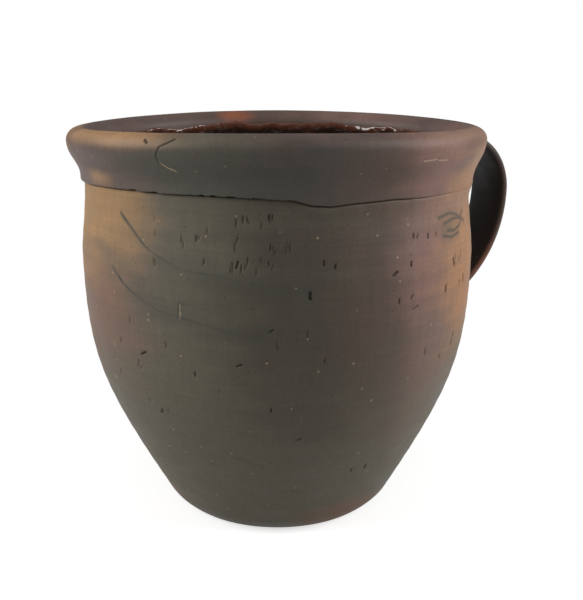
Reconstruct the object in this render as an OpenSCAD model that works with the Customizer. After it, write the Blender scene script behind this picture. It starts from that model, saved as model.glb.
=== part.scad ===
// A one-handled redware kitchen crock: a thrown clay pot with a folded rim
// collar, a glazed lining and a strap handle luted on at both ends.
// The origin is the centre of the face that the crock rests on.
// +Z points up, and +X points out through the handle.

/* [Crock] */
// Height from the table to the crest of the rim
crock_h = 190; // [150:1:240]
// Diameter of the flat face it rests on
foot_d = 102; // [80:1:120]
// Height of the rounded heel above the rest face
heel_h = 8; // [3:0.5:14]
// How far the heel runs out beyond the rest face
heel_out = 8; // [3:0.5:12]
// Lean of the wall from upright where it leaves the heel, in degrees
wall_lean = 28.5; // [10:0.5:36]
// Diameter at the widest part of the belly
belly_d = 190.8; // [176:0.2:214]
// Distance from the collar's seam down to the widest part of the belly
belly_drop = 33; // [20:1:45]
// Diameter of the neck just under the collar
neck_d = 185.2; // [170:0.2:190]
// Thickness of the thrown wall
wall_t = 7.6; // [6:0.2:10]
// Thickness of the floor
floor_t = 10; // [6:0.5:16]
// Radius of the cove where the wall meets the floor
cove_r = 13; // [6:1:20]

/* [Rim collar] */
// Height of the collar, from its seam to the crest
collar_h = 26.5; // [24:0.5:36]
// How far the lip stands out beyond the neck
lip_out = 7.4; // [5:0.1:14]
// How far the collar's lower edge stands proud of the neck
collar_ledge = 1.7; // [0.8:0.1:2.5]
// Rounding of the two clay edges that meet at the seam
seam_round = 1.2; // [0.4:0.1:1.6]
// How far the widest line of the lip lies below the crest
lip_drop = 6; // [4:0.5:9]
// How far the crest lies inside the widest line of the lip
lip_run = 6.3; // [4:0.1:8]
// How far below the crest the lip's inner round begins, where the glaze stops
glaze_stop = 6.5; // [4:0.5:10]
// Thickness of the wall left standing inside the collar
tenon_t = 4.5; // [3:0.1:5]
// How far the wall inside the collar ends below the crest
tenon_drop = 14; // [12:0.5:18]

/* [Glaze] */
// Thickness of the glaze on the inside
glaze_t = 0.6; // [0.4:0.1:1.2]

/* [Handle] */
// Width of the strap
strap_w = 31; // [20:0.5:38]
// Thickness of the strap
strap_t = 6; // [4:0.5:8]
// Distance from the crest down to the strap's middle where it leaves the collar
strap_top_drop = 9; // [8:0.5:12]
// How far the strap's middle stands out beyond the rim
strap_reach = 25.5; // [20:0.5:34]
// Radius of the upper bend, at the strap's middle
bend_r = 28; // [20:0.5:36]
// Height between the strap's two seats on the crock
strap_span = 84; // [70:1:96]
// How far the luting clay spreads around the strap
luting_spread = 2.2; // [1:0.1:2.5]
// How far the luting clay runs out along the strap
luting_run = 4; // [2:0.5:6]

/* [Hidden] */
$fn = 96;

foot_r = foot_d / 2;
heel_r = foot_r + heel_out;
belly_r = belly_d / 2;
neck_r = neck_d / 2;
rim_r = neck_r + lip_out;

seam_z = crock_h - collar_h;
belly_z = seam_z - belly_drop;
lip_z = crock_h - lip_drop;
glaze_z = crock_h - glaze_stop;
tenon_z = crock_h - tenon_drop;

// The mouth is as wide inside as the neck, and upright up to the lip
mouth_r = neck_r - wall_t;
tenon_r = mouth_r + tenon_t;
crest_r = rim_r - lip_run;
collar_foot_r = neck_r + collar_ledge;

// Where each curve's inner control points stand, as shares of the curve's own size
heel_share = 0.2;
lean_share = 0.54;
belly_share = 0.42;
upper_belly_share = 0.2;
neck_share = 0.3;
flare_share = 0.42;
lip_share = 0.1;

// How far the heel's curve bulges beyond a straight chamfer
heel_bulge = heel_share * heel_out;

// Control points of the outer wall, as [radius, height]
lean_pull = lean_share * (belly_z - heel_h);
belly_pull = belly_share * (belly_z - heel_h);
low_wall = [
    [heel_r, heel_h],
    [heel_r + lean_pull * sin(wall_lean), heel_h + lean_pull * cos(wall_lean)],
    [belly_r, belly_z - belly_pull],
    [belly_r, belly_z]
];
neck_foot_z = seam_z - seam_round;
high_wall = [
    [belly_r, belly_z],
    [belly_r, belly_z + upper_belly_share * belly_drop],
    [neck_r, neck_foot_z - neck_share * belly_drop],
    [neck_r, neck_foot_z]
];

// Control points of the collar's flare, from its rounded lower edge to the lip
flare_z = seam_z + seam_round;
flare_pull = flare_share * (lip_z - flare_z);
flare = [
    [collar_foot_r, flare_z],
    [collar_foot_r, flare_z + flare_pull],
    [rim_r - lip_share * (rim_r - collar_foot_r), lip_z - flare_pull],
    [rim_r, lip_z]
];

// Steps along each curve
low_steps = 20;
high_steps = 8;
small_steps = 6;

// The point and the slope at t on a cubic curve
function curve_at(c, t) =
    pow(1 - t, 3) * c[0] + 3 * t * pow(1 - t, 2) * c[1]
    + 3 * t * t * (1 - t) * c[2] + pow(t, 3) * c[3];
function slope_at(c, t) =
    pow(1 - t, 2) * (c[1] - c[0]) + 2 * t * (1 - t) * (c[2] - c[1])
    + t * t * (c[3] - c[2]);

// The point at t, moved square to the curve into the wall by depth
function inside_at(c, t, depth) =
    let (s = slope_at(c, t))
    curve_at(c, t) + depth * [-s[1], s[0]] / norm(s);

// A curve through its end points that leans on one control point
function soft_corner(a, b, c, steps) = [
    for (i = [0:steps])
        let (t = i / steps)
        pow(1 - t, 2) * a + 2 * t * (1 - t) * b + t * t * c
];

// Part of an ellipse about [r, z], from one angle to another
function ellipse_arc(middle, run, rise, from, to, steps) = [
    for (i = [0:steps])
        let (a = from + (to - from) * i / steps)
        middle + [run * cos(a), rise * sin(a)]
];

heel_line = soft_corner(
    [foot_r, 0],
    [(foot_r + heel_r) / 2 + heel_bulge, heel_h / 2],
    [heel_r, heel_h],
    small_steps
);
wall_line = concat(
    [for (i = [1:low_steps]) curve_at(low_wall, i / low_steps)],
    [for (i = [1:high_steps]) curve_at(high_wall, i / high_steps)]
);
shoulder_line = ellipse_arc(
    [neck_r - seam_round, neck_foot_z], seam_round, seam_round, 15, 90, 5
);

// The collar's outside: rounded lower edge, flare, lip and crest
collar_edge = ellipse_arc(
    [collar_foot_r - seam_round, flare_z], seam_round, seam_round, -90, 0, small_steps
);
flare_line = [for (i = [1:high_steps]) curve_at(flare, i / high_steps)];
lip_line = ellipse_arc([crest_r, lip_z], lip_run, lip_drop, 10, 90, 8);
inner_lip_line = ellipse_arc([crest_r, glaze_z], crest_r - mouth_r, glaze_stop, 100, 180, 8);

// The wall's inner face, pushed further in by depth, from the mouth down to the floor
function inner_line(depth) =
    let (
        sunk = wall_t + depth,
        floor_z = floor_t + depth,
        low = [
            for (i = [low_steps:-1:0])
                let (p = inside_at(low_wall, i / low_steps, sunk))
                if (p[1] > floor_z + cove_r) p
        ],
        high = [for (i = [high_steps:-1:1]) inside_at(high_wall, i / high_steps, sunk)],
        last = low[len(low) - 1],
        before = low[len(low) - 2],
        lean = (before[0] - last[0]) / (before[1] - last[1]),
        corner = [last[0] - lean * (last[1] - floor_z), floor_z]
    )
    concat(high, low, soft_corner(last, corner, corner - [cove_r, 0], small_steps));

outer_line = concat(heel_line, wall_line);

// The outline of the whole crock, filled to its axis, without the seam's groove
crock_outline = concat(
    [[0, 0]],
    outer_line,
    [collar_edge[small_steps]],
    flare_line,
    lip_line,
    [[0, crock_h]]
);

// Radius of the outer wall at a height
wall_radii = [for (p = outer_line) [p[1], p[0]]];
function wall_radius(z) = lookup(z, wall_radii);

// The strap's middle line: an upper bend and a wide lower arc that meet upright
strap_top_z = crock_h - strap_top_drop;
strap_low_z = strap_top_z - strap_span;
strap_out_x = rim_r + strap_reach;
strap_out_z = strap_top_z - bend_r;
seat_x = wall_radius(strap_low_z);
arc_run = strap_out_x - seat_x;
arc_fall = strap_out_z - strap_low_z;
// Kept to a hundredth, so that the two bends meet on one outline
arc_r = round(50 * (arc_run * arc_run + arc_fall * arc_fall) / arc_run) / 100;
arc_turn = atan2(arc_fall, arc_r - arc_run);
// The lower arc runs on into the wall, where it is cut flush
root_turn = 8;

clay = "#6f6252";
collar_clay = "#8a6a53";
handle_clay = "#4a4039";
luting_clay = "#5c4c42";
glaze = "#33231c";

// Outline of the strap across its width, at a distance from its bend's centre
module strap_section(distance, grow) {
    thick = strap_t + 2 * grow;
    flat = strap_w - strap_t;
    translate([distance, 0]) {
        square([thick, flat], center = true);
        for (side = [-1, 1])
            translate([0, side * flat / 2])
                circle(d = thick);
    }
}

// One bend of the strap about a level axis, up or down from its outermost place
module strap_bend(radius, turn, grow) {
    translate([strap_out_x - radius, 0, strap_out_z])
        rotate([90, 0, 0])
            rotate_extrude(angle = turn)
                strap_section(radius, grow);
}

// The upper end of the strap, made longer into the collar
module upper_strap(grow) {
    start_x = strap_out_x - bend_r;
    strap_bend(bend_r, 90, grow);
    if (start_x > tenon_r)
        translate([tenon_r, 0, strap_top_z])
            rotate([0, 90, 0])
                linear_extrude(start_x - tenon_r)
                    strap_section(0, grow);
}

// The lower end of the strap, made longer into the wall
module lower_strap(grow) {
    strap_bend(arc_r, -arc_turn - root_turn, grow);
}

// Everything inside the crock's outer surface
module whole_crock() {
    rotate_extrude()
        polygon(crock_outline);
}

// The thrown pot: floor, wall and the thin neck that stands inside the collar
module crock_body() {
    color(clay)
        rotate_extrude()
            polygon(concat(
                [[0, 0]],
                outer_line,
                shoulder_line,
                [[tenon_r, seam_z], [tenon_r, tenon_z], [mouth_r, tenon_z]],
                inner_line(0),
                [[0, floor_t]]
            ));
}

// The thick rim, folded out over the neck and down to the seam
module rim_collar() {
    color(collar_clay)
        rotate_extrude()
            polygon(concat(
                [[tenon_r, seam_z]],
                collar_edge,
                flare_line,
                lip_line,
                inner_lip_line,
                [[mouth_r, tenon_z], [tenon_r, tenon_z]]
            ));
}

// The skin of glaze over the floor and wall, up to the lip's inner round
module glaze_lining() {
    skin = inner_line(glaze_t);
    clay_face = inner_line(0);
    color(glaze)
        rotate_extrude()
            polygon(concat(
                [[0, floor_t + glaze_t]],
                [for (i = [len(skin) - 1:-1:0]) skin[i]],
                [[mouth_r - glaze_t, glaze_z], [mouth_r, glaze_z]],
                clay_face,
                [[0, floor_t]]
            ));
}

// The strap handle, cut flush where it meets the collar and the wall
module handle_strap() {
    color(handle_clay)
        difference() {
            union() {
                upper_strap(0);
                lower_strap(0);
            }
            whole_crock();
        }
}

// The clay pressed round the strap's upper end, against the collar
module handle_upper_luting() {
    color(luting_clay)
        difference() {
            intersection() {
                upper_strap(luting_spread);
                translate([0, 0, seam_z])
                    cylinder(r = rim_r + luting_run, h = collar_h);
            }
            upper_strap(0);
            whole_crock();
        }
}

// The clay pressed round the strap's lower end, against the wall
module handle_lower_luting() {
    band_h = 2 * (strap_t + luting_spread + luting_run);
    color(luting_clay)
        difference() {
            intersection() {
                lower_strap(luting_spread);
                translate([0, 0, strap_low_z - band_h])
                    cylinder(r = seat_x + luting_run, h = 2 * band_h);
            }
            lower_strap(0);
            whole_crock();
        }
}

crock_body();
rim_collar();
glaze_lining();
handle_strap();
handle_upper_luting();
handle_lower_luting();
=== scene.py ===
# %% [markdown]
# # A redware crock
# The pot is a one-handled kitchen crock of low-fired red clay. It was thrown on a wheel, its rim
# was folded out into a thick collar, a strap handle was pulled and luted on, and the inside was
# glazed. The outside was left bare, and the kiln's smoke coloured it from straw to charcoal.
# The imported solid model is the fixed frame. Each solid is replaced here by a finer mesh in the
# same place, because the throwing marks, pits and smears are what make the pot look real.

import math
import random
import bmesh
import bpy
import numpy as np
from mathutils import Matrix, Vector, noise


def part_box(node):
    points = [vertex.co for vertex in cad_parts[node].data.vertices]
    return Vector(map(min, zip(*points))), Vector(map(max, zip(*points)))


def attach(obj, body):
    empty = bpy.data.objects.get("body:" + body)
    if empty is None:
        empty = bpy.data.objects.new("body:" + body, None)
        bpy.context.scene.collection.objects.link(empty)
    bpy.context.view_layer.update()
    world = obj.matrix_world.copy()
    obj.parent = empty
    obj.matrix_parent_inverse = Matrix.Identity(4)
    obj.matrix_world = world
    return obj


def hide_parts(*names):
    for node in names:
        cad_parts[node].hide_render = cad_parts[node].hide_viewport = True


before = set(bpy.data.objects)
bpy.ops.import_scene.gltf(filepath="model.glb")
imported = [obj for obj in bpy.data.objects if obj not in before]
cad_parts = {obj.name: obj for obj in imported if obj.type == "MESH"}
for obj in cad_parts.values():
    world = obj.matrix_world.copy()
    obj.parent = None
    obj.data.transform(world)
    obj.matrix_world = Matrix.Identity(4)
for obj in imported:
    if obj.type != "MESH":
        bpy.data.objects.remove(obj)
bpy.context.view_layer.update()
print("solids:", sorted(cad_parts))

# %% [markdown]
# ## Where the camera stands
# Everything on the pot is placed by two numbers: how many degrees round from the side that faces
# the camera, and how many millimetres above the table. The handle points along +X, which is 112
# degrees round to the right of the camera, so it shows at the right with its back hidden.

# %% Units and directions
MM = 0.001
CAMERA_AZIMUTH = -22.0
FRONT = math.radians(CAMERA_AZIMUTH - 90.0)
CAMERA_DISTANCE = 430.0 * MM
CAMERA_HEIGHT = 215.5 * MM
CAMERA_PITCH = math.radians(14.96)
CAMERA_YAW = math.radians(0.92)
PHOTO_WIDTH = 583
PHOTO_HEIGHT = 600
FOCAL_PIXELS = 870.5
SENSOR = 36.0


def round_from_front(degrees, distance, height):
    """A point at an angle round from the camera's side of the pot, positive to the right."""
    turn = FRONT + math.radians(degrees)
    return Vector((distance * math.cos(turn), distance * math.sin(turn), height))


camera_data = bpy.data.cameras.new("camera")
camera_data.sensor_width = SENSOR
camera_data.lens = FOCAL_PIXELS * SENSOR / max(PHOTO_WIDTH, PHOTO_HEIGHT)
camera = bpy.data.objects.new("camera", camera_data)
camera.location = round_from_front(0, CAMERA_DISTANCE, CAMERA_HEIGHT)
camera.rotation_euler = (math.pi / 2 - CAMERA_PITCH, 0, math.radians(CAMERA_AZIMUTH) - CAMERA_YAW)
bpy.context.scene.collection.objects.link(camera)
bpy.context.scene.camera = camera
bpy.context.scene.view_settings.view_transform = "Standard"
print("camera lens %.2f mm" % camera_data.lens)

# %% [markdown]
# ## Nodes and colours
# One small function adds any node, for shaders and for Geometry Nodes alike: it sets the node's
# properties, then sets or links its inputs. Colours are written as sRGB hex and made linear.

# %% Helpers
def add(tree, kind, inputs=None, **settings):
    """Adds a node, sets its properties and sets or links its inputs, by name or by number."""
    made = tree.nodes.new(kind)
    for name, value in settings.items():
        setattr(made, name, value)
    for key, value in (inputs or {}).items():
        if isinstance(value, bpy.types.NodeSocket):
            tree.links.new(value, made.inputs[key])
        else:
            made.inputs[key].default_value = value
    return made


def linear(text):
    """An sRGB hex value as linear red, green and blue, with an alpha of 1."""
    parts = [int(text[i:i + 2], 16) / 255 for i in (1, 3, 5)]
    return [p / 12.92 if p <= 0.04045 else ((p + 0.055) / 1.055) ** 2.4 for p in parts] + [1.0]


# %% [markdown]
# ## The outline of the pot
# A thrown pot is an outline turned about an axis. The outline is the same curve as the solid's:
# a rounded heel, one long curve up to the belly, a short one in to the neck, then the folded
# collar with its flare and lip. The overall sizes come from the solids' boxes, and the rest repeat
# the sizes that the solid was drawn with.

# %% Sizes of the clay, in metres
body_low, body_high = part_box("crock_body")
collar_low, collar_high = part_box("rim_collar")
strap_low, strap_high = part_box("handle_strap")
CREST_Z = collar_high.z
SEAM_Z = collar_low.z
TENON_Z = body_high.z
RIM_R = collar_high.x
BELLY_R = body_high.x
FOOT_R = 51.0 * MM
HEEL_R = 59.0 * MM
HEEL_H = 8.0 * MM
HEEL_BULGE = 1.6 * MM
BELLY_DROP = 33.0 * MM
BELLY_Z = SEAM_Z - BELLY_DROP
NECK_R = 92.6 * MM
WALL = 7.6 * MM
FLOOR = 10.0 * MM
COVE = 13.0 * MM
GLAZE = 0.6 * MM
MOUTH_R = NECK_R - WALL
TENON = 4.5 * MM
TENON_R = MOUTH_R + TENON
LEDGE = 1.7 * MM
SEAM_ROUND = 1.2 * MM
LIP_DROP = 6.0 * MM
LIP_Z = CREST_Z - LIP_DROP
LIP_RUN = 6.3 * MM
GLAZE_STOP = 6.5 * MM
WALL_LEAN = math.radians(28.5)
CREST_R = RIM_R - LIP_RUN
GLAZE_Z = CREST_Z - GLAZE_STOP
print("height %.1f mm, rim %.1f mm" % (CREST_Z / MM, 2 * RIM_R / MM))


# %% Curves for outlines
def cubic(points, steps):
    """Points along a cubic curve with four control points, without the first."""
    t = np.linspace(0, 1, steps + 1)[1:, None]
    a, b, c, d = np.array(points, float)
    return (1 - t) ** 3 * a + 3 * t * (1 - t) ** 2 * b + 3 * t * t * (1 - t) * c + t ** 3 * d


def corner(a, b, c, steps):
    """Points along a curve from a to c that leans on b, without the first."""
    t = np.linspace(0, 1, steps + 1)[1:, None]
    a, b, c = np.array([a, b, c], float)
    return (1 - t) ** 2 * a + 2 * t * (1 - t) * b + t * t * c


def bow(middle, run, rise, start, end, steps):
    """Points along part of an ellipse, with angles in degrees."""
    turn = np.radians(np.linspace(start, end, steps + 1))
    return np.array(middle) + np.c_[run * np.cos(turn), rise * np.sin(turn)]


def straight(a, b, steps):
    """Points from a to b, without the first."""
    t = np.linspace(0, 1, steps + 1)[1:, None]
    return (1 - t) * np.array(a, float) + t * np.array(b, float)


def inward(line, depth):
    """A line moved to its left by depth, which is into the wall when the line runs upward."""
    along = np.gradient(line, axis=0)
    along /= np.linalg.norm(along, axis=1)[:, None]
    return line + depth * np.c_[-along[:, 1], along[:, 0]]


# Where each curve's inner control points stand, as on the solid
LEAN_SHARE = 0.54
BELLY_SHARE = 0.42
FLARE_SHARE = 0.42
LIP_SHARE = 0.1
UPPER_BELLY_PULL = 6.6 * MM
NECK_PULL = 9.9 * MM

span = BELLY_Z - HEEL_H
low_pull = LEAN_SHARE * span
high_pull = BELLY_SHARE * span
neck_foot = SEAM_Z - SEAM_ROUND
heel_middle = ((FOOT_R + HEEL_R) / 2 + HEEL_BULGE, HEEL_H / 2)
heel_line = corner((FOOT_R, 0), heel_middle, (HEEL_R, HEEL_H), 8)
low_line = cubic([
    (HEEL_R, HEEL_H),
    (HEEL_R + low_pull * math.sin(WALL_LEAN), HEEL_H + low_pull * math.cos(WALL_LEAN)),
    (BELLY_R, BELLY_Z - high_pull),
    (BELLY_R, BELLY_Z),
], 84)
high_line = cubic([
    (BELLY_R, BELLY_Z),
    (BELLY_R, BELLY_Z + UPPER_BELLY_PULL),
    (NECK_R, neck_foot - NECK_PULL),
    (NECK_R, neck_foot),
], 24)
wall_line = np.vstack([[(HEEL_R, HEEL_H)], low_line, high_line])
outer_line = np.vstack([heel_line, low_line, high_line])


def inner_line(depth):
    """The wall's inner face from the floor's middle up to the neck, pushed inward by depth."""
    floor_z = FLOOR + depth
    face = inward(wall_line, WALL + depth)
    face = face[face[:, 1] > floor_z + COVE]
    lean = (face[1, 0] - face[0, 0]) / (face[1, 1] - face[0, 1])
    foot = (face[0, 0] - lean * (face[0, 1] - floor_z), floor_z)
    start = (foot[0] - COVE, floor_z)
    cove = corner(start, foot, face[0], 14)
    floor = straight((0, floor_z), start, 24)
    return np.vstack([[(0, floor_z)], floor, cove, face[1:]])


print("outline points up the wall:", len(outer_line))

# %% [markdown]
# ## Spinning clay with Geometry Nodes
# The wall, the collar and the glaze are all the same thing: an outline turned about the pot's
# axis by fingers that leave faint rings and a slow wobble. A Geometry Nodes tree suits that,
# because one rule makes every point. A grid's columns go round the pot and its rows read the
# outline's points in turn, so rows can be close together where detail is needed. The rim also
# sways up and down by a millimetre, as this one does: higher in front and behind than at the sides.

# %% The spun clay tree
def spun_clay_tree():
    """Builds the tree that turns an outline and gives it throwing rings, swell and sway."""
    tree = bpy.data.node_groups.new("spun clay", "GeometryNodeTree")
    face = tree.interface
    face.new_socket("Geometry", in_out="OUTPUT", socket_type="NodeSocketGeometry")
    for name, kind in (
        ("Outline", "Object"), ("Points", "Int"), ("Segments", "Int"),
        ("Ring height", "Float"), ("Ring depth", "Float"),
        ("Swell size", "Float"), ("Swell depth", "Float"),
        ("Sway", "Float"), ("Sway from", "Float"), ("Sway to", "Float"),
        ("Front", "Float"), ("Crowding", "Float"), ("Seed", "Float"), ("Material", "Material"),
    ):
        face.new_socket(name, in_out="INPUT", socket_type="NodeSocket" + kind)
    given = add(tree, "NodeGroupInput").outputs
    columns = add(tree, "ShaderNodeMath", {
        0: given["Segments"], 1: 1.0}, operation="ADD").outputs[0]
    grid = add(tree, "GeometryNodeMeshGrid", {
        "Size X": 1.0, "Size Y": 1.0, "Vertices X": columns, "Vertices Y": given["Points"]})
    place = add(tree, "ShaderNodeSeparateXYZ", {0: add(tree, "GeometryNodeInputPosition").outputs[0]})
    turn = add(tree, "ShaderNodeMath", {0: place.outputs[0], 1: 0.5}, operation="ADD").outputs[0]
    turn = add(tree, "ShaderNodeMath", {
        0: turn, 1: math.tau, 2: -math.pi}, operation="MULTIPLY_ADD").outputs[0]

    # The front shows most, so columns crowd together there and spread out behind
    crowd = add(tree, "ShaderNodeMath", {0: turn}, operation="SINE").outputs[0]
    crowd = add(tree, "ShaderNodeMath", {
        0: crowd, 1: given["Crowding"]}, operation="MULTIPLY").outputs[0]
    turn = add(tree, "ShaderNodeMath", {0: turn, 1: crowd}, operation="SUBTRACT").outputs[0]
    turn = add(tree, "ShaderNodeMath", {0: turn, 1: given["Front"]}, operation="ADD").outputs[0]
    last = add(tree, "ShaderNodeMath", {0: given["Points"], 1: 1.0}, operation="SUBTRACT").outputs[0]
    row = add(tree, "ShaderNodeMath", {0: place.outputs[1], 1: 0.5}, operation="ADD").outputs[0]
    row = add(tree, "ShaderNodeMath", {0: row, 1: last}, operation="MULTIPLY").outputs[0]
    row = add(tree, "ShaderNodeMath", {0: row}, operation="ROUND").outputs[0]

    # Each row reads one point of the outline, and how much of the throwing shows there
    outline = add(tree, "GeometryNodeObjectInfo", {"Object": given["Outline"]}).outputs["Geometry"]
    spot = add(tree, "GeometryNodeSampleIndex", {
        "Geometry": outline, "Index": row, "Value": add(tree, "GeometryNodeInputPosition").outputs[0],
    }, data_type="FLOAT_VECTOR", clamp=True)
    shown = add(tree, "GeometryNodeInputNamedAttribute", {"Name": "show"}, data_type="FLOAT")
    show = add(tree, "GeometryNodeSampleIndex", {
        "Geometry": outline, "Index": row, "Value": shown.outputs[0],
    }, data_type="FLOAT", clamp=True).outputs[0]
    flat = add(tree, "ShaderNodeSeparateXYZ", {0: spot.outputs[0]})
    cosine = add(tree, "ShaderNodeMath", {0: turn}, operation="COSINE").outputs[0]
    sine = add(tree, "ShaderNodeMath", {0: turn}, operation="SINE").outputs[0]
    x = add(tree, "ShaderNodeMath", {0: flat.outputs[0], 1: cosine}, operation="MULTIPLY").outputs[0]
    y = add(tree, "ShaderNodeMath", {0: flat.outputs[0], 1: sine}, operation="MULTIPLY").outputs[0]
    round_place = add(tree, "ShaderNodeCombineXYZ", {0: x, 1: y, 2: flat.outputs[2]}).outputs[0]
    kept = add(tree, "GeometryNodeStoreNamedAttribute", {
        "Geometry": grid.outputs["Mesh"], "Name": "show", "Value": show,
    }, data_type="FLOAT", domain="POINT").outputs[0]
    kept = add(tree, "GeometryNodeStoreNamedAttribute", {
        "Geometry": kept, "Name": "row", "Value": row,
    }, data_type="FLOAT", domain="POINT").outputs[0]
    spun = add(tree, "GeometryNodeSetPosition", {"Geometry": kept, "Position": round_place}).outputs[0]
    closed = add(tree, "GeometryNodeMergeByDistance", {
        "Geometry": spun, "Distance": 0.01 * MM}).outputs[0]

    # Throwing rings climb in a spiral, and a slow swell keeps the wall from being a true circle
    here = add(tree, "GeometryNodeInputPosition").outputs[0]
    at = add(tree, "ShaderNodeSeparateXYZ", {0: here})
    around = add(tree, "ShaderNodeMath", {
        0: at.outputs[1], 1: at.outputs[0]}, operation="ARCTAN2").outputs[0]
    rings = add(tree, "ShaderNodeMath", {
        0: at.outputs[2], 1: given["Ring height"]}, operation="DIVIDE").outputs[0]
    rings = add(tree, "ShaderNodeMath", {
        0: rings, 1: math.tau, 2: around}, operation="MULTIPLY_ADD").outputs[0]
    drift = add(tree, "ShaderNodeTexNoise", {
        "Vector": here, "W": given["Seed"], "Scale": 22.0, "Detail": 1.0}, noise_dimensions="4D").outputs[0]
    rings = add(tree, "ShaderNodeMath", {0: drift, 1: 9.0, 2: rings}, operation="MULTIPLY_ADD").outputs[0]
    rings = add(tree, "ShaderNodeMath", {0: rings}, operation="SINE").outputs[0]
    rings = add(tree, "ShaderNodeMath", {
        0: rings, 1: given["Ring depth"]}, operation="MULTIPLY").outputs[0]
    size = add(tree, "ShaderNodeMath", {0: 1.0, 1: given["Swell size"]}, operation="DIVIDE").outputs[0]
    swell = add(tree, "ShaderNodeTexNoise", {
        "Vector": here, "W": given["Seed"], "Scale": size, "Detail": 2.0}, noise_dimensions="4D").outputs[0]
    swell = add(tree, "ShaderNodeMath", {0: swell, 1: 0.5}, operation="SUBTRACT").outputs[0]
    depth = add(tree, "ShaderNodeMath", {0: given["Swell depth"], 1: 2.0}, operation="MULTIPLY").outputs[0]
    push = add(tree, "ShaderNodeMath", {0: swell, 1: depth, 2: rings}, operation="MULTIPLY_ADD").outputs[0]
    mask = add(tree, "GeometryNodeInputNamedAttribute", {"Name": "show"}, data_type="FLOAT").outputs[0]
    push = add(tree, "ShaderNodeMath", {0: push, 1: mask}, operation="MULTIPLY").outputs[0]
    normal = add(tree, "GeometryNodeInputNormal").outputs[0]
    pushed = add(tree, "ShaderNodeVectorMath", {0: normal, "Scale": push}, operation="SCALE").outputs[0]
    thrown = add(tree, "GeometryNodeSetPosition", {"Geometry": closed, "Offset": pushed}).outputs[0]

    # The sway lifts two opposite sides of the rim and drops the two between
    twice = add(tree, "ShaderNodeMath", {0: around, 1: given["Front"]}, operation="SUBTRACT").outputs[0]
    twice = add(tree, "ShaderNodeMath", {0: twice, 1: 2.0}, operation="MULTIPLY").outputs[0]
    twice = add(tree, "ShaderNodeMath", {0: twice}, operation="COSINE").outputs[0]
    share = add(tree, "ShaderNodeMapRange", {
        "Value": at.outputs[2], "From Min": given["Sway from"], "From Max": given["Sway to"],
    }, interpolation_type="SMOOTHSTEP").outputs[0]
    lift = add(tree, "ShaderNodeMath", {0: twice, 1: share}, operation="MULTIPLY").outputs[0]
    lift = add(tree, "ShaderNodeMath", {0: lift, 1: given["Sway"]}, operation="MULTIPLY").outputs[0]
    lifted = add(tree, "ShaderNodeCombineXYZ", {2: lift}).outputs[0]
    swayed = add(tree, "GeometryNodeSetPosition", {"Geometry": thrown, "Offset": lifted}).outputs[0]
    smooth = add(tree, "GeometryNodeSetShadeSmooth", {"Geometry": swayed}).outputs[0]
    real = add(tree, "GeometryNodeRealizeInstances", {"Geometry": smooth}).outputs[0]
    done = add(tree, "GeometryNodeSetMaterial", {
        "Geometry": real, "Material": given["Material"]}).outputs[0]
    add(tree, "NodeGroupOutput", {0: done})
    return tree


spun_clay = spun_clay_tree()
print("spun clay nodes:", len(spun_clay.nodes))


# %% Turning a tree's result into a plain mesh
def grown(name, tree, values):
    """Runs a Geometry Nodes tree with named input values and keeps its result as a plain mesh."""
    host = bpy.data.objects.new(name + " host", bpy.data.meshes.new(name + " host"))
    bpy.context.scene.collection.objects.link(host)
    modifier = host.modifiers.new("tree", "NODES")
    modifier.node_group = tree
    sockets = {i.name: i.identifier for i in tree.interface.items_tree if i.in_out == "INPUT"}
    for key, value in values.items():
        modifier[sockets[key]] = value
    bpy.context.view_layer.update()
    baked = host.evaluated_get(bpy.context.evaluated_depsgraph_get())
    mesh = bpy.data.meshes.new_from_object(baked)
    mesh.name = name
    host.modifiers.remove(modifier)
    bpy.data.objects.remove(host)
    piece = bpy.data.objects.new(name, mesh)
    bpy.context.scene.collection.objects.link(piece)
    return piece


def outline_object(name, line, show):
    """A string of points that a tree can read, with how much of the throwing shows at each."""
    mesh = bpy.data.meshes.new(name)
    mesh.from_pydata([(r, 0.0, z) for r, z in line], [], [])
    mesh.attributes.new("show", "FLOAT", "POINT").data.foreach_set("value", np.array(show, np.float32))
    made = bpy.data.objects.new(name, mesh)
    bpy.context.scene.collection.objects.link(made)
    return made


def spun(name, line, show, segments, material, **values):
    """One closed piece of spun clay or glaze."""
    guide = outline_object(name + " outline", line, show)
    settings = {
        "Outline": guide, "Points": len(line), "Segments": segments, "Material": material,
        "Ring height": 9.0 * MM, "Ring depth": 0.05 * MM,
        "Swell size": 90.0 * MM, "Swell depth": 0.35 * MM,
        "Sway": 1.1 * MM, "Sway from": 110.0 * MM, "Sway to": CREST_Z,
        "Front": FRONT, "Crowding": 0.5, "Seed": 1.0,
    }
    settings.update(values)
    piece = grown(name, spun_clay, settings)
    bpy.data.objects.remove(guide)
    return piece


# %% [markdown]
# ## Numbers for every point
# Carving and colouring need each point's place: its angle round from the camera's side, its
# height and its distance from the axis. NumPy reads and writes whole meshes at once, which is
# far quicker than a loop over points.

# %% Reading and writing meshes
def points_of(mesh):
    """All the vertex positions of a mesh, one row each."""
    flat = np.empty(len(mesh.vertices) * 3, np.float32)
    mesh.vertices.foreach_get("co", flat)
    return flat.reshape(-1, 3).astype(float)


def set_points(mesh, points):
    """Writes the vertex positions of a mesh."""
    mesh.vertices.foreach_set("co", points.astype(np.float32).ravel())
    mesh.update()


def values_of(mesh, name):
    """A named number for each vertex."""
    held = np.empty(len(mesh.vertices), np.float32)
    mesh.attributes[name].data.foreach_get("value", held)
    return held.astype(float)


def set_values(mesh, name, values):
    """Writes a named number for each vertex."""
    kept = mesh.attributes.get(name) or mesh.attributes.new(name, "FLOAT", "POINT")
    kept.data.foreach_set("value", values.astype(np.float32))


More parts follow.
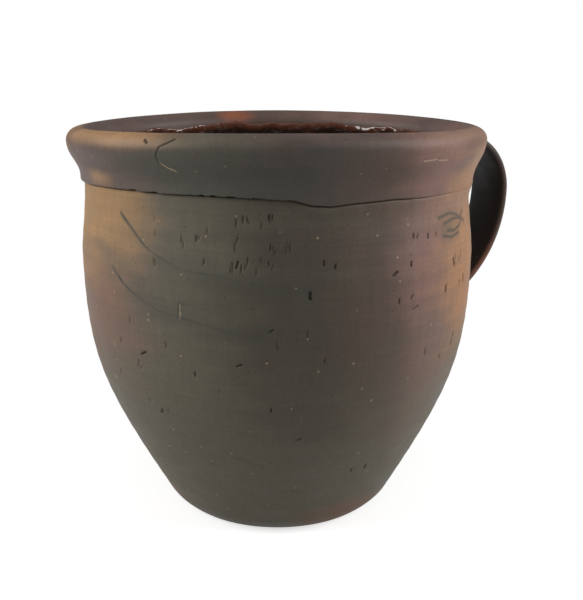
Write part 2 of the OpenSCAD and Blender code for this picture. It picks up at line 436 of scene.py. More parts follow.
def set_colours(mesh, name, colours):
    """Writes a named colour for each vertex."""
    kept = mesh.attributes.get(name) or mesh.attributes.new(name, "FLOAT_COLOR", "POINT")
    rgba = np.c_[colours, np.ones(len(colours))]
    kept.data.foreach_set("color", rgba.astype(np.float32).ravel())


def around(points):
    """Degrees round from the camera's side, from -180 to 180, positive to the right."""
    turn = np.degrees(np.arctan2(points[:, 1], points[:, 0]) - FRONT)
    return (turn + 180) % 360 - 180


def cloud(points, size, seed, octaves=3):
    """Smooth noise between about -1 and 1 at each point, with lumps of about the given size."""
    spots = points / size + np.array([seed * 7.3, seed * 3.1, seed * 5.7])
    return np.array([noise.fractal(Vector(s), 0.6, 2.0, octaves) for s in spots])


def ease(low, high, values):
    """0 below low, 1 above high and smooth between."""
    t = np.clip((values - low) / (high - low), 0, 1)
    return t * t * (3 - 2 * t)


def outward(mesh):
    """Turns a closed mesh the right way round, so that its volume counts as positive."""
    work = bmesh.new()
    work.from_mesh(mesh)
    if work.calc_volume(signed=True) < 0:
        bmesh.ops.reverse_faces(work, faces=work.faces)
    work.to_mesh(mesh)
    work.free()


print("helpers ready")

# %% [markdown]
# ## Marks in the clay
# Grit dragged by the potter's rib left short pits, straw or twigs left two dark slashes in the
# firing, and the collar's foot was never quite closed on the left. Each mark is a line drawn on
# the surface: degrees round from the camera's side, and millimetres above the table. A
# point's distance from the line tells how deep or how dark it is there. The mesh is split finer
# near the marks alone, so that the whole pot stays light.

# %% Lines drawn on the clay
def stroke(points, line):
    """How many millimetres each point lies from a drawn line, and how far along from 0 to 1."""
    off, z = around(points), points[:, 2] / MM
    degree = np.hypot(points[:, 0], points[:, 1]) / MM * math.radians(1)
    best = np.full(len(points), 1e9)
    along = np.zeros(len(points))
    for i, (a, b) in enumerate(zip(line, line[1:])):
        run, rise = (b[0] - a[0]) * degree, b[1] - a[1]
        x, y = (off - a[0]) * degree, z - a[1]
        t = np.clip((x * run + y * rise) / (run * run + rise * rise), 0, 1)
        gap = np.hypot(x - t * run, y - t * rise)
        closer = gap < best
        best[closer] = gap[closer]
        along[closer] = (i + t[closer]) / (len(line) - 1)
    return best, along


def refined(mesh, near, times):
    """Splits the faces that lie near some marks into four, as many times as asked."""
    for _ in range(times):
        centres = np.empty(len(mesh.polygons) * 3, np.float32)
        mesh.polygons.foreach_get("center", centres)
        chosen = np.flatnonzero(near(centres.reshape(-1, 3).astype(float)))
        work = bmesh.new()
        work.from_mesh(mesh)
        work.faces.ensure_lookup_table()
        edges = {edge for i in chosen for edge in work.faces[i].edges}
        bmesh.ops.subdivide_edges(work, edges=list(edges), cuts=1, use_grid_fill=True)
        work.to_mesh(mesh)
        work.free()


UPPER_SLASH = [
    (-45.2, 155), (-41, 150.7), (-35.6, 144.3), (-31.7, 141.1), (-24.9, 136.8),
    (-14.5, 134.8), (-7.6, 132.8), (-2.6, 130.8), (2.4, 129.4), (7.7, 127.6),
]
LOWER_SLASH = [
    (-48.3, 133), (-43, 126.1), (-35.4, 120.3), (-32.2, 118.2), (-25.2, 116.4),
    (-18.7, 114.5), (-13.3, 112.2), (-7.8, 110.4), (-2.7, 109.4),
]
SIDE_SLASH = [(-24.8, 122.6), (-17.8, 120.8), (-12.4, 119.3)]
COLLAR_CRACK = [
    (-23.6, 188.8), (-25.3, 187.3), (-27.3, 185.7), (-28.4, 182), (-27.5, 179.1),
    (-25.9, 177), (-24.1, 175.7),
]
COLLAR_NICK = [(-31.6, 188), (-30.9, 187.2)]
COLLAR_SCRATCHES = [[(36.6, 179.2), (41, 179.6)], [(42, 179), (45.4, 178.8)]]
WALL_SCRATCH = [(-25.3, 122.5), (-25.5, 115.7)]
FOOT_GROOVE = [(-13.4, 50.2), (-8.9, 47.4), (-4.2, 44.6)]

# Each pit is its place, then its half length and half width in mm and its lean in degrees
DRAWN_PITS = [
    (-9.8, 139.9, 1.3, 0.6, 15), (7.7, 127.4, 1.2, 0.9, 0), (11.1, 140.5, 0.9, 0.5, 0),
    (13.9, 138.8, 0.8, 0.5, 20), (30.4, 133.4, 1.2, 0.7, 60), (35.7, 136.5, 0.9, 0.6, 0),
    (54.8, 132.3, 1.7, 0.8, -20), (62.7, 122.3, 1.8, 0.7, -15), (50.6, 121.6, 1.3, 0.8, 0),
    (59.3, 121.2, 1.0, 0.7, 10), (36.1, 122.2, 1.0, 0.5, 40), (31.9, 121.5, 0.9, 0.5, 0),
    (37.6, 117, 1.6, 0.5, 70), (58.1, 93.5, 1.3, 0.6, 10), (58.6, 97.1, 1.0, 0.6, -10),
    (51.1, 89.7, 0.8, 0.5, 0), (36.9, 147.8, 0.9, 0.5, 0), (38.3, 147.6, 0.8, 0.4, 20),
    (42.5, 146.7, 0.9, 0.5, 0), (46, 146.8, 0.8, 0.4, 0), (-1.6, 113.1, 0.9, 0.5, 60),
    (-9.8, 97.5, 1.0, 0.6, 70), (-37.7, 97.2, 1.3, 0.7, 60), (-21.8, 91.9, 0.8, 0.5, 0),
    (-2, 77.2, 0.8, 0.5, 0), (31.9, 38.4, 0.9, 0.6, 0), (26.1, 38.3, 0.8, 0.5, 0),
    (5.6, 61.1, 1.6, 0.4, 60), (-35.2, 69.8, 1.1, 0.6, 30), (55.6, 134.5, 0.8, 0.5, 0),
]


def pit_line(pit):
    """The two ends of a pit, as places on the wall."""
    off, z, reach, _, lean = pit
    degree = BELLY_R / MM * math.radians(1)
    across = reach * math.sin(math.radians(lean)) / degree
    up = reach * math.cos(math.radians(lean))
    return [(off - across, z - up), (off + across, z + up)]


def scattered_pits(count, low, high, left, right, seed):
    """Small dragged pits at random places in a stretch of the wall."""
    dice = random.Random(seed)
    return [
        (dice.uniform(left, right), dice.uniform(low, high), dice.uniform(0.5, 1.5),
         dice.uniform(0.3, 0.5), dice.gauss(5, 14))
        for _ in range(count)
    ]


pits = DRAWN_PITS
pits = pits + scattered_pits(34, 137, 158, -33, 3, 3)
pits = pits + scattered_pits(16, 70, 135, -50, 60, 11)
pits = pits + scattered_pits(40, 30, 158, 80, 285, 7)
print("pits:", len(pits))

# %% [markdown]
# ## How the kiln coloured it
# Bare red clay takes its colour from the fire: straw and orange where air reached it, olive and
# charcoal where smoke did. The change is soft and has no edge, so it isn't a texture but a value
# at each point of the mesh: a ground colour, then soft patches laid over it one after another.
# Noise frays the patches, and stretches them sideways as the wet hand left the surface.

# %% Colours of the firing
CLAY = {
    "straw": "#b08a5f", "gold": "#b99068", "tan": "#b18562", "orange": "#b27a50",
    "rose": "#86695a", "plum": "#6d5a54", "mauve": "#8f6e63", "blush": "#a3806e",
    "olive": "#66604f", "moss": "#55544a", "drab": "#6b6556", "umber": "#5d4a41",
    # The near-black below colours the strap's inner face, which faces the pot: partly soot, partly painted
    # shade
    "soot_and_painted_shade": "#272628", "char": "#4d453b", "smoke": "#4a4640", "rust": "#93583f", "slate": "#454843",
    "pale": "#c9b496",
}


def fired(points, ground, patches):
    """Colours of unglazed clay: soft patches of flame and smoke laid over a ground colour."""
    off, z = around(points), points[:, 2] / MM
    ragged = cloud(points * (1, 1, 2.2), 38 * MM, 5)
    wiped = cloud(points * (1, 1, 10), 60 * MM, 8, 2)
    colours = np.tile(linear(CLAY[ground])[:3], (len(points), 1))
    for name, degrees, height, wide, tall, strength in patches:
        across = ((off - degrees + 180) % 360 - 180) / wide
        up = (z - height) / tall
        reach = np.hypot(across, up) + 0.2 * ragged + 0.12 * wiped
        share = strength * (1 - ease(0.2, 1.3, reach))
        colours += share[:, None] * (np.array(linear(CLAY[name])[:3]) - colours)
    return colours


# Each patch is its colour, its place, its half width in degrees, its half height in mm and its
# strength. The last of each list are on the sides and back, which the photograph doesn't show.
BODY_PATCHES = [
    ("drab", -30, 60, 34, 110, 0.9), ("drab", -34, 130, 26, 50, 0.6),
    ("rose", -62, 112, 26, 42, 0.95), ("drab", -60, 60, 24, 40, 0.6),
    ("straw", -66, 152, 26, 30, 1.0), ("straw", -48, 156, 16, 16, 0.7),
    ("char", 8, 128, 26, 60, 0.9), ("char", 12, 90, 24, 50, 0.6),
    ("umber", 28, 140, 16, 50, 0.7), ("umber", 32, 100, 16, 60, 0.5),
    ("mauve", 44, 140, 14, 44, 0.9), ("mauve", 50, 90, 16, 50, 0.6),
    ("tan", 64, 140, 18, 62, 1.0), ("blush", 58, 160, 20, 10, 0.6),
    ("orange", 66, 118, 12, 26, 0.5), ("drab", 60, 48, 22, 50, 0.7),
    ("rust", 32, 6, 26, 12, 0.35), ("rust", -60, 8, 12, 8, 0.5),
    ("tan", 96, 120, 22, 80, 0.7), ("umber", 122, 90, 22, 50, 0.7),
    ("drab", 150, 120, 26, 80, 0.8), ("char", 176, 90, 22, 60, 0.7),
    ("straw", 204, 140, 24, 50, 0.7), ("mauve", 232, 80, 24, 60, 0.7),
    ("gold", 262, 130, 24, 56, 0.7), ("rose", 274, 70, 20, 50, 0.6),
]
COLLAR_PATCHES = [
    ("moss", -18, 172, 34, 30, 1.0), ("smoke", 10, 178, 26, 30, 0.9),
    ("plum", -60, 174, 20, 18, 0.9), ("plum", -40, 168, 14, 6, 0.5),
    ("straw", -54, 168, 9, 5, 0.8), ("umber", 26, 172, 14, 22, 0.8),
    ("mauve", 46, 176, 16, 26, 1.0), ("tan", 66, 172, 18, 16, 0.9),
    ("gold", -46, 189, 30, 5.5, 1.0), ("drab", -14, 189, 18, 4.5, 0.8),
    ("plum", 16, 190, 30, 4.5, 0.7), ("blush", 60, 189, 30, 7, 0.9),
    ("umber", 110, 176, 24, 30, 0.8), ("drab", 150, 172, 26, 30, 0.8),
    ("plum", 180, 180, 24, 20, 0.7), ("straw", 214, 176, 26, 30, 0.7),
    ("moss", 250, 172, 24, 30, 0.7), ("gold", 276, 182, 16, 14, 0.7),
]
print("colours of clay:", len(CLAY))

# %% [markdown]
# ## Bare clay
# Unglazed redware is a coarse, low-fired clay. It was wiped with a wet hand while it turned, so
# fine level lines cross it, and its grit stands out as pale and dark specks. It is dull, with a
# little sheen where handling has closed the surface.

# %% Materials of bare clay
def stretched(tree, across, up):
    """Object coordinates measured in units of so many metres across and up."""
    place = add(tree, "ShaderNodeTexCoord").outputs["Object"]
    return add(tree, "ShaderNodeMapping", {
        "Vector": place, "Scale": (1 / across, 1 / across, 1 / up)}).outputs[0]


def lightened(tree, colour, pattern, low, high):
    """A colour made darker or lighter by a pattern between 0 and 1."""
    gain = add(tree, "ShaderNodeMapRange", {
        "Value": pattern, "From Min": 0.3, "From Max": 0.7, "To Min": low, "To Max": high}).outputs[0]
    return add(tree, "ShaderNodeVectorMath", {0: colour, "Scale": gain}, operation="SCALE").outputs[0]


def tinted(tree, colour, other, share):
    """A colour mixed with another by a share between 0 and 1."""
    return add(tree, "ShaderNodeMix", {
        "Factor": share, "A": colour, "B": other}, data_type="RGBA").outputs[2]


def bare_clay(name, roughness, wiping, grit):
    """Unglazed redware, wiped by hand: it reads its firing, its soot and the painted shade in its hollows
    from the mesh.
    """
    material = bpy.data.materials.new(name)
    material.use_nodes = True
    tree = material.node_tree
    tree.nodes.clear()
    colour = add(tree, "ShaderNodeAttribute", attribute_name="firing").outputs["Color"]

    # Cloudy mottling 14 mm across, level wiping lines 1.4 mm apart, and drag lines down the wall
    mottle = add(tree, "ShaderNodeTexNoise", {
        "Vector": stretched(tree, 14 * MM, 9 * MM), "Scale": 1.0, "Detail": 4.0}).outputs[0]
    level = add(tree, "ShaderNodeTexNoise", {
        "Vector": stretched(tree, 46 * MM, 1.4 * MM), "Scale": 1.0, "Detail": 3.0}).outputs[0]
    upright = add(tree, "ShaderNodeTexNoise", {
        "Vector": stretched(tree, 2.2 * MM, 26 * MM), "Scale": 1.0, "Detail": 2.0}).outputs[0]
    fine = add(tree, "ShaderNodeTexNoise", {
        "Vector": stretched(tree, 0.9 * MM, 0.9 * MM), "Scale": 1.0, "Detail": 2.0}).outputs[0]
    colour = lightened(tree, colour, mottle, 0.9, 1.1)
    colour = lightened(tree, colour, level, 1 - wiping, 1 + wiping)
    colour = lightened(tree, colour, upright, 0.95, 1.05)
    colour = lightened(tree, colour, fine, 0.93, 1.07)

    # Grit: a pale or dark speck under a millimetre across in some cells of a few millimetres
    for size, tone, odds, strength in ((5.0, "#cdb893", 0.3, 0.55), (4.2, "#2b241f", 0.4, 0.6)):
        cells = add(tree, "ShaderNodeTexVoronoi", {
            "Vector": stretched(tree, size * MM, size * MM), "Scale": 1.0})
        speck = add(tree, "ShaderNodeMapRange", {
            "Value": cells.outputs["Distance"], "From Min": 0.13, "From Max": 0.05}).outputs[0]
        lot = add(tree, "ShaderNodeSeparateColor", {0: cells.outputs["Color"]}).outputs[0]
        some = add(tree, "ShaderNodeMath", {0: lot, 1: odds}, operation="LESS_THAN").outputs[0]
        share = add(tree, "ShaderNodeMath", {0: speck, 1: some}, operation="MULTIPLY").outputs[0]
        share = add(tree, "ShaderNodeMath", {0: share, 1: strength * grit}, operation="MULTIPLY").outputs[0]
        colour = tinted(tree, colour, linear(tone), share)

    # Slashes of soot on the body; the strap's near-black painted shade comes through its firing colours
    # instead
    soot_and_painted_shade = add(tree, "ShaderNodeAttribute", attribute_name="soot_and_painted_shade").outputs["Fac"]
    colour = tinted(tree, colour, linear(CLAY["slate"]), soot_and_painted_shade)
    pale = add(tree, "ShaderNodeAttribute", attribute_name="pale").outputs["Fac"]
    colour = tinted(tree, colour, linear(CLAY["pale"]), pale)
    # Painted shade: pits, cracks, the nick and scratches are darkened towards near-black
    painted_hollow_shade = add(tree, "ShaderNodeAttribute", attribute_name="painted_hollow_shade").outputs["Fac"]
    colour = tinted(tree, colour, linear("#17120f"), painted_hollow_shade)

    rough = add(tree, "ShaderNodeMapRange", {
        "Value": mottle, "From Min": 0.3, "From Max": 0.7,
        "To Min": roughness - 0.07, "To Max": roughness + 0.07}).outputs[0]
    relief = add(tree, "ShaderNodeMath", {0: level, 1: 1.2, 2: fine}, operation="MULTIPLY_ADD").outputs[0]
    bump = add(tree, "ShaderNodeBump", {"Height": relief, "Strength": 0.5, "Distance": 0.09 * MM})
    shader = add(tree, "ShaderNodeBsdfPrincipled", {
        "Base Color": colour, "Roughness": rough, "IOR": 1.45, "Normal": bump.outputs[0]})
    add(tree, "ShaderNodeOutputMaterial", {"Surface": shader.outputs[0]})
    return material


smoked_redware = bare_clay("smoked_redware_wiped", 0.62, 0.05, 1.0)
rim_redware = bare_clay("rim_redware_wiped", 0.56, 0.04, 0.6)
handle_redware = bare_clay("handle_redware_pulled", 0.6, 0.03, 0.5)
luting_clay = bare_clay("luting_clay_smeared", 0.66, 0.03, 0.6)
print("clay nodes:", len(smoked_redware.node_tree.nodes))

# %% [markdown]
# ## Lead glaze
# The inside is lined with a clear lead glaze, poured in and out. Over smoked clay it looks nearly
# black, with amber where it runs thin. Lead bends light strongly and lies as smooth as glass, but
# the skin crept into ripples a few millimetres across, which break each reflection into cells.

# %% Material of the glaze
def lead_glaze_material():
    """A clear lead glaze over dark clay, glassy and rippled."""
    material = bpy.data.materials.new("lead_glaze_poured")
    material.use_nodes = True
    tree = material.node_tree
    tree.nodes.clear()
    runs = add(tree, "ShaderNodeTexNoise", {
        "Vector": stretched(tree, 11 * MM, 26 * MM), "Scale": 1.0, "Detail": 4.0}).outputs[0]
    thin = add(tree, "ShaderNodeMapRange", {
        "Value": runs, "From Min": 0.52, "From Max": 0.8}).outputs[0]
    colour = tinted(tree, linear("#2a1e19"), linear("#5d3320"), thin)
    edge = add(tree, "ShaderNodeAttribute", attribute_name="thin").outputs["Fac"]
    colour = tinted(tree, colour, linear("#6b4130"), edge)
    ripples = add(tree, "ShaderNodeTexNoise", {
        "Vector": stretched(tree, 3.4 * MM, 3.4 * MM), "Scale": 1.0, "Detail": 1.5}).outputs[0]
    cells = add(tree, "ShaderNodeTexVoronoi", {
        "Vector": stretched(tree, 4.6 * MM, 4.6 * MM), "Scale": 1.0}, feature="SMOOTH_F1").outputs[0]
    relief = add(tree, "ShaderNodeMath", {0: cells, 1: 0.8, 2: ripples}, operation="MULTIPLY_ADD").outputs[0]
    bump = add(tree, "ShaderNodeBump", {"Height": relief, "Strength": 0.7, "Distance": 0.7 * MM})
    shader = add(tree, "ShaderNodeBsdfPrincipled", {
        "Base Color": colour, "Roughness": 0.09, "IOR": 1.7, "Normal": bump.outputs[0]})
    add(tree, "ShaderNodeOutputMaterial", {"Surface": shader.outputs[0]})
    return material


lead_glaze = lead_glaze_material()
print("glaze nodes:", len(lead_glaze.node_tree.nodes))

# %% [markdown]
# ## The thrown body
# The body is one closed solid: wire-cut underneath, thrown up the wall, and thinned at the top to
# a tenon that stands inside the collar. Only the outer wall needs fine rows; the inner face is
# hidden by the glaze.

# %% Spin the body
SEGMENTS = 420
SHOULDER = 0.45 * MM
under_line = np.vstack([
    [(0, 0)], straight((0, 0), (FOOT_R - 1.2 * MM, 0), 8), [(FOOT_R - 0.4 * MM, 0)],
])
shoulder_line = np.vstack([
    [(NECK_R, SEAM_Z - 0.8 * MM)],
    corner((NECK_R, SEAM_Z - SHOULDER), (NECK_R, SEAM_Z), (NECK_R - SHOULDER, SEAM_Z), 4),
    [(TENON_R, SEAM_Z), (TENON_R, SEAM_Z + 3 * MM), (TENON_R, TENON_Z), (MOUTH_R, TENON_Z)],
])
hidden_line = inner_line(0)[::-1][::4]
body_line = np.vstack([under_line, outer_line, shoulder_line, hidden_line, [(0, FLOOR)]])
body_show = np.zeros(len(body_line))
first = len(under_line)
heights = outer_line[:, 1] / MM
body_show[first:first + len(outer_line)] = ease(0, 14, heights) * (1 - ease(156, 162, heights))
body = spun("thrown_body", body_line, body_show, SEGMENTS, smoked_redware)
print("body points:", len(body.data.vertices))


# %% The wandering seam
# Where the seam stands above its drawn height, in mm, as the degrees go round
SEAM_WANDER = [
    (-180, 0.6), (-130, 1.2), (-90, 1.8), (-66, 2.2), (-56, 2.7), (-46, 2.8), (-39, 2.8),
    (-30, 2.4), (-20, 2.4), (-12, 2.1), (-3, 1.6), (4, 1.0), (8, -0.9), (13, -1.5),
    (18, -0.7), (30, 0.2), (40, -0.3), (50, -0.1), (70, 0), (112, 0), (150, 0.3), (180, 0.6),
]


def seam_lift(points):
    """How far the seam is lifted at each point, fading out above and below it."""
    turn, lift = np.array(SEAM_WANDER).T
    z = points[:, 2] / MM
    share = ease(146, 163, z) * (1 - ease(165, 182, z))
    return np.interp(around(points), turn, lift) * share * MM


def seam_gap(points):
    """How wide the seam stands open, in mm: a gap on the left, pits in front, shut on the right."""
    off = around(points)
    open_share = ease(-125, -95, off) * (1 - ease(-16, 2, off))
    coarse = cloud(points * (1, 1, 0), 3.2 * MM, 21, 2)
    voids = ease(0.05, 0.5, coarse) * ease(-44, -38, off) * (1 - ease(0, 5, off))
    behind = 0.25 * ease(110, 150, np.abs(off + 20))
    return 0.5 * open_share + 1.1 * voids + behind


def seam_shut(points):
    """How far the seam was smeared shut, from 0 to 1."""
    off = around(points)
    return ease(2, 9, off) * (1 - ease(120, 170, off))


print("seam drawn at %.1f mm" % (SEAM_Z / MM))

# %% Radius of the outside at any height
flare_foot = SEAM_Z + SEAM_ROUND
COLLAR_FOOT_R = NECK_R + LEDGE
flare_pull = FLARE_SHARE * (LIP_Z - flare_foot)
flare_line = cubic([
    (COLLAR_FOOT_R, flare_foot),
    (COLLAR_FOOT_R, flare_foot + flare_pull),
    (RIM_R - LIP_SHARE * (RIM_R - COLLAR_FOOT_R), LIP_Z - flare_pull),
    (RIM_R, LIP_Z),
], 34)
lip_line = bow((CREST_R, LIP_Z), LIP_RUN, CREST_Z - LIP_Z, 8, 90, 14)
outside = np.vstack([outer_line, flare_line, lip_line])


def outer_radius(z):
    """Radius of the pot's outside at a height, in metres."""
    return np.interp(z, outside[:, 1], outside[:, 0])


# %% Carve and colour the body
SWIRL = [
    [(47.5, 153.4), (53, 154.4), (58, 152.8), (60.5, 151)], [(50, 150.3), (55, 151.6), (60.5, 151)],
    [(52, 147), (56, 146.2), (60, 147.6), (61.5, 150.4)], [(49.5, 145.2), (54, 143.8), (59, 144.6)],
    [(60.5, 151), (63, 153.4)], [(61, 151), (64, 148.4)],
]
fine_lines = [UPPER_SLASH, LOWER_SLASH, SIDE_SLASH, WALL_SCRATCH, FOOT_GROOVE] + SWIRL


def near_pits(points, chosen, room):
    """Which points lie on the outer wall within some room of a pit."""
    close = np.zeros(len(points), bool)
    for pit in chosen:
        close |= stroke(points, pit_line(pit))[0] < pit[3] + room
    return close & (np.hypot(points[:, 0], points[:, 1]) > outer_radius(points[:, 2]) - 2 * MM)


def near_fine_lines(points):
    """Which points lie on the outer wall close to a fine line or a drawn pit."""
    close = near_pits(points, DRAWN_PITS, 0.8)
    for line in fine_lines:
        close |= stroke(points, line)[0] < 1.5
    return close & (np.hypot(points[:, 0], points[:, 1]) > outer_radius(points[:, 2]) - 2 * MM)


def slash(points, line, seed):
    """How dark a slash of soot is at each point: a stroke that thins, and a soft shadow under it."""
    gap, along = stroke(points, line)
    half = 0.75 - 0.4 * ease(0.05, 0.3, along)
    core = (1 - ease(0.4 * half, 1.5 * half, gap)) * (0.9 - 0.45 * ease(0.1, 0.5, along))
    broken = 0.75 + 0.5 * cloud(points, 9 * MM, seed, 2)
    shadow = 0.26 * (1 - ease(0.5, 7.5, gap)) * ease(0.05, 0.4, along)
    return np.clip(core * broken + shadow, 0, 1)


def carve_body(mesh):
    """Opens the seam, cuts pits and scratches, and stores soot, pale marks and the painted shade in the pits
    and scratch for the clay.
    """
    points = points_of(mesh)
    drawn_z = points[:, 2] / MM
    distance = np.hypot(points[:, 0], points[:, 1])
    outward_way = np.c_[points[:, :2] / np.maximum(distance, 1e-9)[:, None], np.zeros(len(points))]
    wall = distance > outer_radius(points[:, 2]) - 2 * MM
    wall &= drawn_z < SEAM_Z / MM + 0.01
    marks = points.copy()

    push = np.zeros(len(points))
    # Painted shade inside the pits and the wall scratch, darkest in the drawn pits
    painted_hollow_shade = np.zeros(len(points))
    for i, pit in enumerate(pits):
        gap, _ = stroke(points, pit_line(pit))
        shape = 1 - ease(0.35 * pit[3], 1.15 * pit[3], gap)
        push -= shape * min(0.9, 1.1 * pit[3]) * MM * wall
        deep = 0.85 if i < len(DRAWN_PITS) else 0.5
        painted_hollow_shade = np.maximum(painted_hollow_shade, deep * (1 - ease(0.2 * pit[3], 0.95 * pit[3], gap)) * wall)
    gap, _ = stroke(points, WALL_SCRATCH)
    painted_hollow_shade = np.maximum(painted_hollow_shade, 0.5 * (1 - ease(0.15, 0.5, gap)) * wall)
    groove, _ = stroke(points, FOOT_GROOVE)
    push -= 0.35 * MM * (1 - ease(0.2, 1.2, groove)) * wall

    soot_and_painted_shade = slash(points, UPPER_SLASH, 2)
    soot_and_painted_shade = np.maximum(soot_and_painted_shade, slash(points, LOWER_SLASH, 4))
    soot_and_painted_shade = np.maximum(soot_and_painted_shade, 0.6 * slash(points, SIDE_SLASH, 6))
    for line in SWIRL:
        gap, _ = stroke(points, line)
        soot_and_painted_shade = np.maximum(soot_and_painted_shade, 0.6 * (1 - ease(0.2, 1.1, gap)) + 0.18 * (1 - ease(0.5, 3.5, gap)))
    core, _ = stroke(points, [(59.6, 151), (61.2, 150.6)])
    soot_and_painted_shade = np.maximum(soot_and_painted_shade, 0.8 * (1 - ease(0.2, 1.8, core)))
    smudge, _ = stroke(points, [(-4.9, 115.1), (-1.7, 113.1)])
    soot_and_painted_shade = np.maximum(soot_and_painted_shade, 0.5 * (1 - ease(0.2, 1.2, smudge)))
    soot_and_painted_shade *= wall
    pale = np.zeros(len(points))
    for off, z, size in ((45.9, 153.2, 0.8), (-50.5, 97.1, 0.9), (-54.3, 78.6, 0.7), (1.9, 116, 0.6)):
        gap, _ = stroke(points, [(off - 0.2, z), (off + 0.2, z)])
        pale = np.maximum(pale, 0.7 * (1 - ease(0.3 * size, size, gap)) * wall)
    gap, _ = stroke(points, [(-24.9, 122), (-25.1, 116)])
    pale = np.maximum(pale, 0.35 * (1 - ease(0.15, 0.5, gap)) * wall)

    # The shut stretch of the seam is smeared out flush with the collar's foot
    near_top = ease(156.5, 163.2, drawn_z) * wall
    lumps = 1 + 0.25 * cloud(points, 7 * MM, 31, 2)
    push += seam_shut(points) * near_top * lumps * 1.35 * MM
    points += push[:, None] * outward_way
    ledge = ease(161.5, 163.3, drawn_z) * (drawn_z < SEAM_Z / MM + 0.01)
    ledge = ledge * (distance > MOUTH_R + 3 * MM)
    points[:, 2] -= 0.45 * MM * seam_gap(marks) * ledge
    points[:, 2] += seam_lift(marks)
    set_points(mesh, points)
    set_values(mesh, "soot_and_painted_shade", soot_and_painted_shade)
    set_values(mesh, "pale", pale)
    set_values(mesh, "painted_hollow_shade", painted_hollow_shade)
    set_colours(mesh, "firing", fired(marks, "drab", BODY_PATCHES))


refined(body.data, lambda points: near_fine_lines(points) | near_pits(points, pits, 0.8), 1)
refined(body.data, near_fine_lines, 1)
carve_body(body.data)
outward(body.data)
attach(body, "root")
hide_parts("crock_body")
print("body triangles:", sum(len(face.vertices) - 2 for face in body.data.polygons))

# %% [markdown]
# ## The folded collar
# The rim was turned out and folded down over the neck, then smoothed to a flared band with a
# round lip. It is a ring of its own here, as on the solid: its foot stands on the neck's ledge,
# and the seam under it is the gap between the two meshes, open on the left and smeared on the right.

# %% Spin, carve and colour the collar
FOOT_ROUND = 0.8 * MM
collar_line = np.vstack([
    straight((TENON_R, TENON_Z), (TENON_R, SEAM_Z), 4), [(COLLAR_FOOT_R - 2.6 * MM, SEAM_Z)],
    [(COLLAR_FOOT_R - FOOT_ROUND, SEAM_Z)],
    corner((COLLAR_FOOT_R - FOOT_ROUND, SEAM_Z), (COLLAR_FOOT_R, SEAM_Z),
           (COLLAR_FOOT_R, SEAM_Z + FOOT_ROUND), 6),
    [(COLLAR_FOOT_R, flare_foot)],
    flare_line, lip_line,
    bow((CREST_R, GLAZE_Z), CREST_R - MOUTH_R, GLAZE_STOP, 94, 180, 16),
    straight((MOUTH_R, GLAZE_Z), (MOUTH_R, TENON_Z), 4),
    [(TENON_R, TENON_Z)],
])
collar_rises = collar_line[:, 1] / MM
collar_show = ease(165, 169, collar_rises) * (collar_line[:, 0] > MOUTH_R + 0.5 * MM)
collar = spun(
    "folded_collar", collar_line, collar_show, SEGMENTS, rim_redware,
    **{"Seed": 4.0, "Swell size": 60 * MM, "Swell depth": 0.45 * MM, "Ring depth": 0.03 * MM},
)
collar_lines = [COLLAR_CRACK, COLLAR_NICK] + COLLAR_SCRATCHES


def near_collar_lines(points):
    """Which points lie on the collar's outside close to a crack or scratch."""
    close = np.zeros(len(points), bool)
    for line in collar_lines:
        close |= stroke(points, line)[0] < 1.5
    return close & (np.hypot(points[:, 0], points[:, 1]) > outer_radius(points[:, 2]) - 3 * MM)


def carve_collar(mesh):
    """Lifts the collar's foot along the seam, cuts its cracks and stores its colours."""
    points = points_of(mesh)
    marks = points.copy()
    drawn_z = points[:, 2] / MM
    distance = np.hypot(points[:, 0], points[:, 1])
    outward_way = np.c_[points[:, :2] / distance[:, None], np.zeros(len(points))]
    outer = distance > outer_radius(points[:, 2]) - 3 * MM
    crack, along = stroke(points, COLLAR_CRACK)
    fade = 1 - ease(0.55, 0.75, along)
    thin = 1 - ease(0.15, 0.55, crack)
    # The crack's upper part is darkened with painted shade
    painted_hollow_shade = 0.85 * thin * (0.35 + 0.65 * (1 - ease(0.2, 0.5, along))) * fade * outer
    pale = 0.75 * thin * (1 - fade) * outer
    push = -0.35 * MM * (1 - ease(0.1, 0.7, crack)) * outer
    nick, _ = stroke(points, COLLAR_NICK)
    # Painted shade in the nick
    painted_hollow_shade = np.maximum(painted_hollow_shade, 0.8 * (1 - ease(0.3, 0.8, nick)) * outer)
    push -= 0.5 * MM * (1 - ease(0.2, 0.8, nick)) * outer
    for line in COLLAR_SCRATCHES:
        gap, _ = stroke(points, line)
        pale = np.maximum(pale, 0.5 * (1 - ease(0.15, 0.45, gap)) * outer)
        push -= 0.2 * MM * (1 - ease(0.1, 0.5, gap)) * outer
    points += push[:, None] * outward_way

    # The foot lifts where the seam stands open, and only the foot
    foot = 1 - ease(SEAM_Z / MM, SEAM_Z / MM + 3.5, drawn_z)
    points[:, 2] += 0.55 * MM * seam_gap(marks) * foot * (distance > TENON_R + 0.1 * MM)
    points[:, 2] += seam_lift(marks)
    set_points(mesh, points)
    set_values(mesh, "soot_and_painted_shade", np.zeros(len(points)))
    set_values(mesh, "pale", pale)
    set_values(mesh, "painted_hollow_shade", painted_hollow_shade)
    colours = fired(marks, "umber", COLLAR_PATCHES)

    # Inside the lip the bare clay is mauve brown, with one rusty patch
    inside = ease(0, 2.5, (CREST_R - distance) / MM)[:, None]
    lip = fired(marks, "plum", LIP_PATCHES)
    set_colours(mesh, "firing", colours + inside * (lip - colours))


LIP_PATCHES = [
    ("umber", 176, 186, 40, 14, 0.7), ("rust", 196, 188, 7, 4, 0.9), ("mauve", 150, 188, 24, 6, 0.6),
    ("plum", -80, 186, 34, 14, 0.7), ("mauve", 84, 188, 24, 8, 0.8), ("char", 160, 183, 30, 3, 0.6),
]
refined(collar.data, near_collar_lines, 2)
carve_collar(collar.data)
outward(collar.data)
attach(collar, "root")
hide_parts("rim_collar")
print("collar triangles:", sum(len(face.vertices) - 2 for face in collar.data.polygons))

# %% [markdown]
# ## The glaze
# The glaze is a skin over the floor and the inner wall. It ends in a wavy line just under the lip,
# where it was wiped back. It is spun like the clay, then rippled, because poured glaze creeps.

